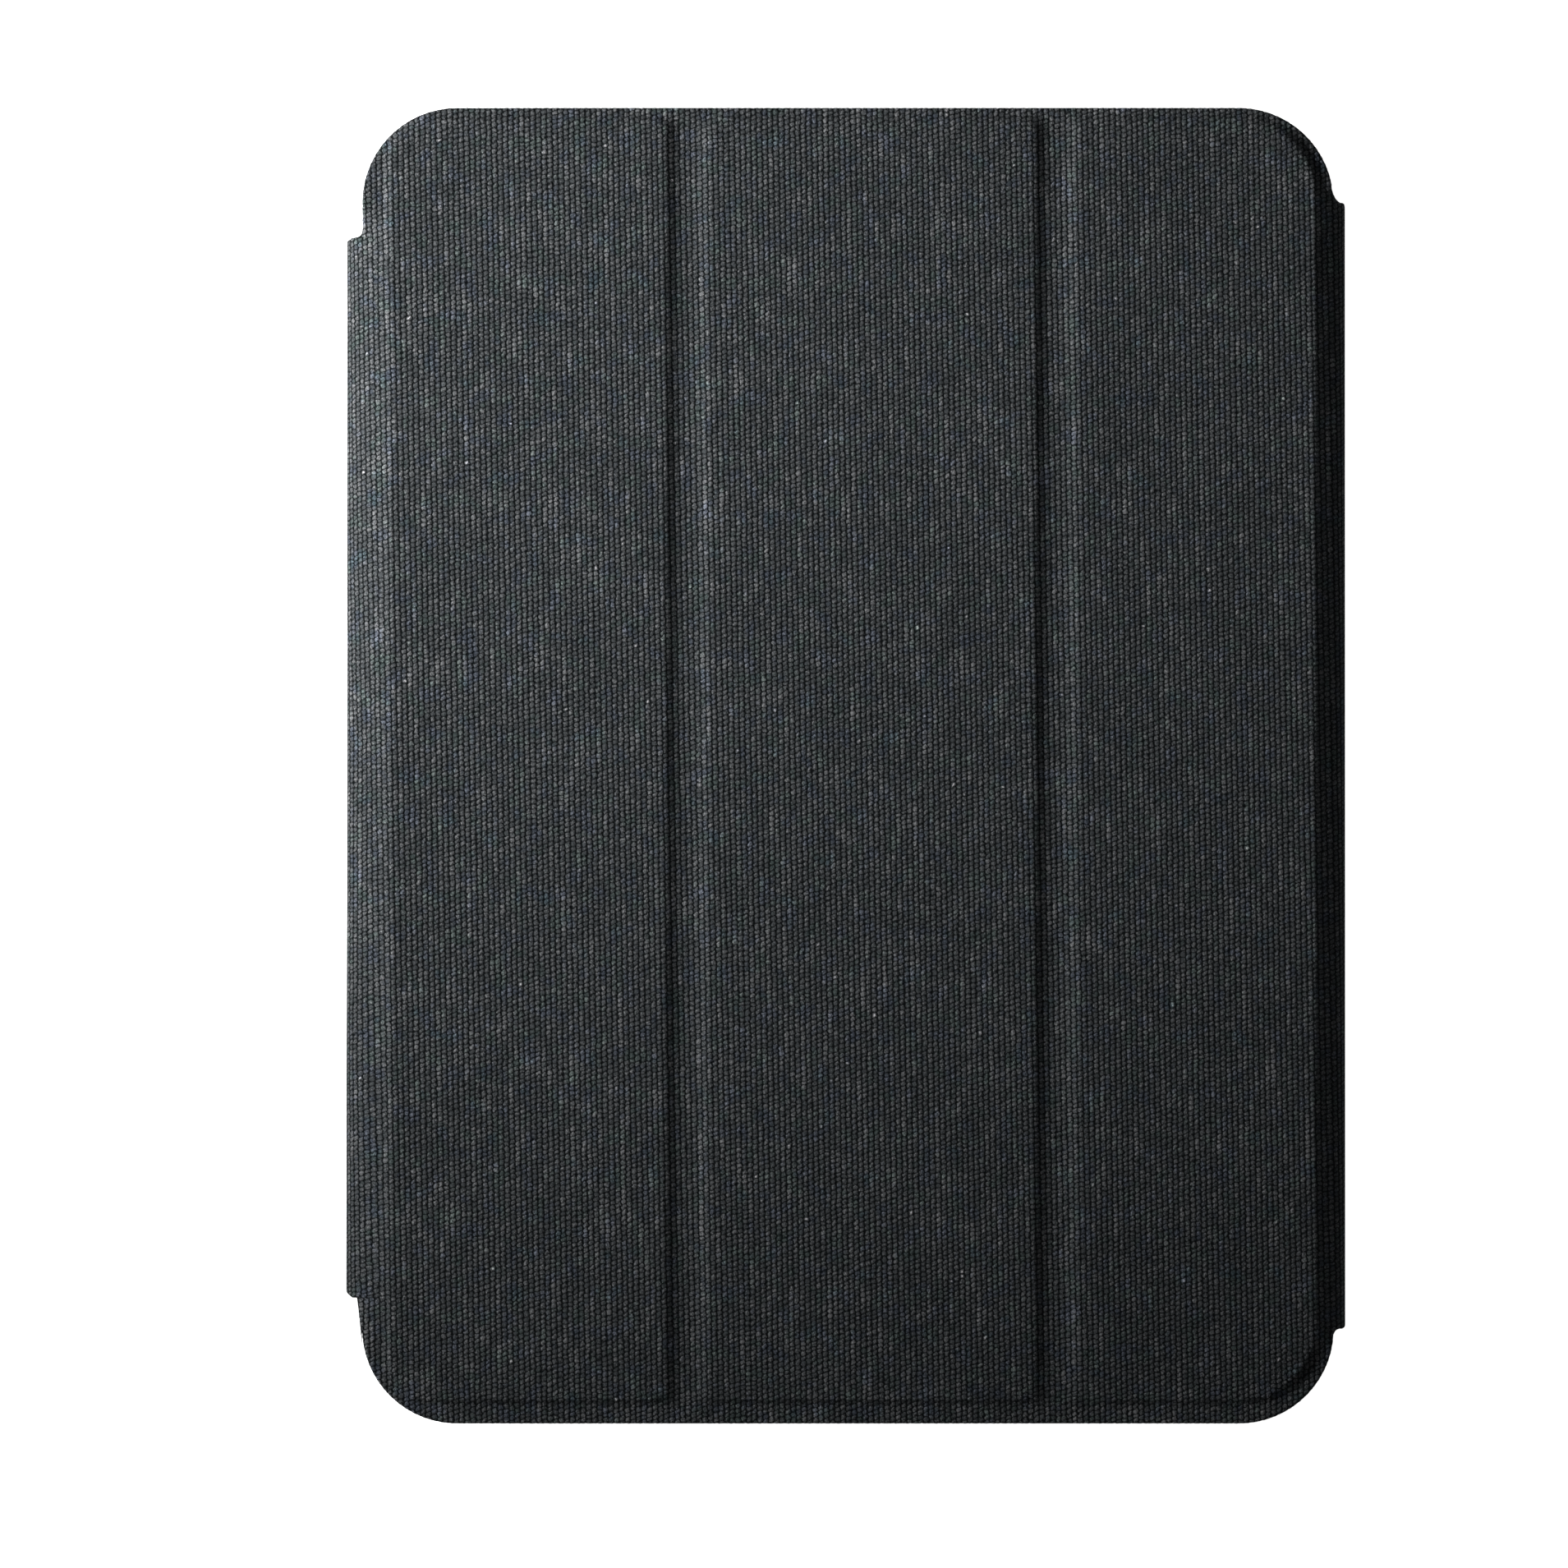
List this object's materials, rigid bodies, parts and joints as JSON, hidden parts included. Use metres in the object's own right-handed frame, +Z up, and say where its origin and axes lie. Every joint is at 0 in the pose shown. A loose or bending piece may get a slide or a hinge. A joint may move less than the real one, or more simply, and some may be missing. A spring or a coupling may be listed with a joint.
{
  "type": "tablet keyboard case",
  "caption": "Folio case for a 10.9 inch tablet: moulded tray, hinged three-panel woven cover with a magnetic clasp, and a slim keyboard that lifts off.",
  "frame": {"origin": "under the middle of the closed case, on the plane its back rests on", "axes": "+X from the spine to the clasp, +Y along the long side to the camera end, +Z up out of the front cover"},
  "size_m": [0.1934, 0.255, 0.0196],
  "materials": {
    "woven_cloth": "heather weave, matte",
    "suede_lining": "brushed suede",
    "cover_board": "pressed board",
    "tray_plastic": "soft matte, slightly flexible",
    "felt": "felt",
    "ring_plastic": "satin gloss",
    "strip_steel": "rolled",
    "magnet": "nickel plated",
    "keyboard_plastic": "fine matte grain",
    "deck_plastic": "fine matte grain",
    "keycap_plastic": "soft-touch matte",
    "silicone": "translucent silicone",
    "film": "printed film",
    "circuit": "solder mask",
    "cell_wrap": "foil pouch",
    "port_steel": "drawn shell",
    "strip_rubber": "matte rubber",
    "screw_steel": "blackened",
    "window": "clear light pipe",
    "touch_plate": "very fine matte"
  },
  "bodies": {
    "back_shell": {"back_skin": "woven_cloth", "back_board": "cover_board", "tablet_tray": "tray_plastic", "tray_felt": "felt", "camera_ring": "ring_plastic", "keeper_strip": "strip_steel", "back_hinge_web": "woven_cloth"},
    "spine": {"spine_skin": "woven_cloth", "spine_stiffener": "cover_board", "spine_lining": "suede_lining", "cover_hinge_web": "woven_cloth"},
    "cover_panel_1": {"panel_1_skin": "woven_cloth", "panel_1_board": "cover_board", "panel_1_lining": "suede_lining", "prop_keeper": "strip_steel", "crease_web_1": "woven_cloth"},
    "cover_panel_2": {"panel_2_skin": "woven_cloth", "panel_2_board": "cover_board", "panel_2_lining": "suede_lining", "crease_web_2": "woven_cloth"},
    "cover_panel_3": {"panel_3_skin": "woven_cloth", "panel_3_board": "cover_board", "panel_3_lining": "suede_lining", "sleep_magnets": "magnet", "clasp_hinge_web": "woven_cloth"},
    "clasp": {"clasp_skin": "woven_cloth", "clasp_stiffener": "cover_board", "clasp_lining": "suede_lining", "clasp_magnets": "magnet"},
    "keyboard": {"keyboard_base": "keyboard_plastic", "keyboard_deck": "deck_plastic", "dome_sheet": "silicone", "switch_membrane": "film", "control_board": "circuit", "battery": "cell_wrap", "charging_port": "port_steel", "rubber_strips": "strip_rubber", "keyboard_magnets": "magnet", "keyboard_screws": "screw_steel", "status_window": "window"},
    "power_slider": {"power_switch": "keycap_plastic"},
    "touch_plate": {"touchpad": "touch_plate"},
    "keys_function_row": {"keys_function_row": "keycap_plastic"},
    "keys_number_row": {"keys_number_row": "keycap_plastic"},
    "key_delete": {"key_delete": "keycap_plastic"},
    "keys_upper_row": {"keys_upper_row": "keycap_plastic"},
    "keys_home_row": {"keys_home_row": "keycap_plastic"},
    "key_return": {"key_return": "keycap_plastic"},
    "key_shift_left": {"key_shift_left": "keycap_plastic"},
    "keys_lower_row": {"keys_lower_row": "keycap_plastic"},
    "key_shift_right": {"key_shift_right": "keycap_plastic"},
    "keys_modifier_left": {"keys_modifier_left": "keycap_plastic"},
    "key_space": {"key_space": "keycap_plastic"},
    "keys_modifier_right": {"keys_modifier_right": "keycap_plastic"},
    "key_arrow_left": {"key_arrow_left": "keycap_plastic"},
    "key_arrow_up": {"key_arrow_up": "keycap_plastic"},
    "key_arrow_down": {"key_arrow_down": "keycap_plastic"},
    "key_arrow_right": {"key_arrow_right": "keycap_plastic"}
  },
  "joints": [
    {"name": "spine_fold", "type": "hinge", "parent": "back_shell", "child": "spine", "pos_m": [-0.09508, 0, 0.0016], "axis": [0, -1, 0], "range_deg": [0, 180], "deforming": ["back_hinge_web"]},
    {"name": "cover_hinge", "type": "hinge", "parent": "spine", "child": "cover_panel_1", "pos_m": [-0.09448, 0, 0.0164], "axis": [0, -1, 0], "range_deg": [0, 120], "deforming": ["cover_hinge_web"]},
    {"name": "crease_1", "type": "hinge", "parent": "cover_panel_1", "child": "cover_panel_2", "pos_m": [-0.03062, 0, 0.01775], "axis": [0, -1, 0], "range_deg": [0, 128], "deforming": ["crease_web_1"]},
    {"name": "crease_2", "type": "hinge", "parent": "cover_panel_2", "child": "cover_panel_3", "pos_m": [0.04088, 0, 0.01775], "axis": [0, -1, 0], "range_deg": [0, 122], "deforming": ["crease_web_2"]},
    {"name": "clasp_hinge", "type": "hinge", "parent": "cover_panel_3", "child": "clasp", "pos_m": [0.09458, 0, 0.0164], "axis": [0, -1, 0], "range_deg": [0, 190], "deforming": ["clasp_hinge_web"]},
    {"name": "keyboard_lift", "type": "slide", "parent": "back_shell", "child": "keyboard", "axis": [0, -1, 0], "range_m": [0, 0.27]},
    {"name": "power_slide", "type": "slide", "parent": "keyboard", "child": "power_slider", "axis": [1, 0, 0], "range_m": [0, 0.0024]},
    {"name": "touch_press", "type": "slide", "parent": "keyboard", "child": "touch_plate", "axis": [0, 0, -1], "range_m": [0, 0.0003], "stiffness_N_per_m": 3000},
    {"name": "keys_function_row_press", "type": "slide", "parent": "keyboard", "child": "keys_function_row", "axis": [0, 0, -1], "range_m": [0, 0.0011], "stiffness_N_per_m": 7000, "deforming": ["dome_sheet"]},
    {"name": "keys_number_row_press", "type": "slide", "parent": "keyboard", "child": "keys_number_row", "axis": [0, 0, -1], "range_m": [0, 0.0011], "stiffness_N_per_m": 6000, "deforming": ["dome_sheet"]},
    {"name": "key_delete_press", "type": "slide", "parent": "keyboard", "child": "key_delete", "axis": [0, 0, -1], "range_m": [0, 0.0011], "stiffness_N_per_m": 500, "deforming": ["dome_sheet"]},
    {"name": "keys_upper_row_press", "type": "slide", "parent": "keyboard", "child": "keys_upper_row", "axis": [0, 0, -1], "range_m": [0, 0.0011], "stiffness_N_per_m": 6500, "deforming": ["dome_sheet"]},
    {"name": "keys_home_row_press", "type": "slide", "parent": "keyboard", "child": "keys_home_row", "axis": [0, 0, -1], "range_m": [0, 0.0011], "stiffness_N_per_m": 5500, "deforming": ["dome_sheet"]},
    {"name": "key_return_press", "type": "slide", "parent": "keyboard", "child": "key_return", "axis": [0, 0, -1], "range_m": [0, 0.0011], "stiffness_N_per_m": 500, "deforming": ["dome_sheet"]},
    {"name": "key_shift_left_press", "type": "slide", "parent": "keyboard", "child": "key_shift_left", "axis": [0, 0, -1], "range_m": [0, 0.0011], "stiffness_N_per_m": 500, "deforming": ["dome_sheet"]},
    {"name": "keys_lower_row_press", "type": "slide", "parent": "keyboard", "child": "keys_lower_row", "axis": [0, 0, -1], "range_m": [0, 0.0011], "stiffness_N_per_m": 5000, "deforming": ["dome_sheet"]},
    {"name": "key_shift_right_press", "type": "slide", "parent": "keyboard", "child": "key_shift_right", "axis": [0, 0, -1], "range_m": [0, 0.0011], "stiffness_N_per_m": 500, "deforming": ["dome_sheet"]},
    {"name": "keys_modifier_left_press", "type": "slide", "parent": "keyboard", "child": "keys_modifier_left", "axis": [0, 0, -1], "range_m": [0, 0.0011], "stiffness_N_per_m": 2000, "deforming": ["dome_sheet"]},
    {"name": "key_space_press", "type": "slide", "parent": "keyboard", "child": "key_space", "axis": [0, 0, -1], "range_m": [0, 0.0011], "stiffness_N_per_m": 500, "deforming": ["dome_sheet"]},
    {"name": "keys_modifier_right_press", "type": "slide", "parent": "keyboard", "child": "keys_modifier_right", "axis": [0, 0, -1], "range_m": [0, 0.0011], "stiffness_N_per_m": 1000, "deforming": ["dome_sheet"]},
    {"name": "key_arrow_left_press", "type": "slide", "parent": "keyboard", "child": "key_arrow_left", "axis": [0, 0, -1], "range_m": [0, 0.0011], "stiffness_N_per_m": 500, "deforming": ["dome_sheet"]},
    {"name": "key_arrow_up_press", "type": "slide", "parent": "keyboard", "child": "key_arrow_up", "axis": [0, 0, -1], "range_m": [0, 0.0011], "stiffness_N_per_m": 500, "deforming": ["dome_sheet"]},
    {"name": "key_arrow_down_press", "type": "slide", "parent": "keyboard", "child": "key_arrow_down", "axis": [0, 0, -1], "range_m": [0, 0.0011], "stiffness_N_per_m": 500, "deforming": ["dome_sheet"]},
    {"name": "key_arrow_right_press", "type": "slide", "parent": "keyboard", "child": "key_arrow_right", "axis": [0, 0, -1], "range_m": [0, 0.0011], "stiffness_N_per_m": 500, "deforming": ["dome_sheet"]}
  ]
}
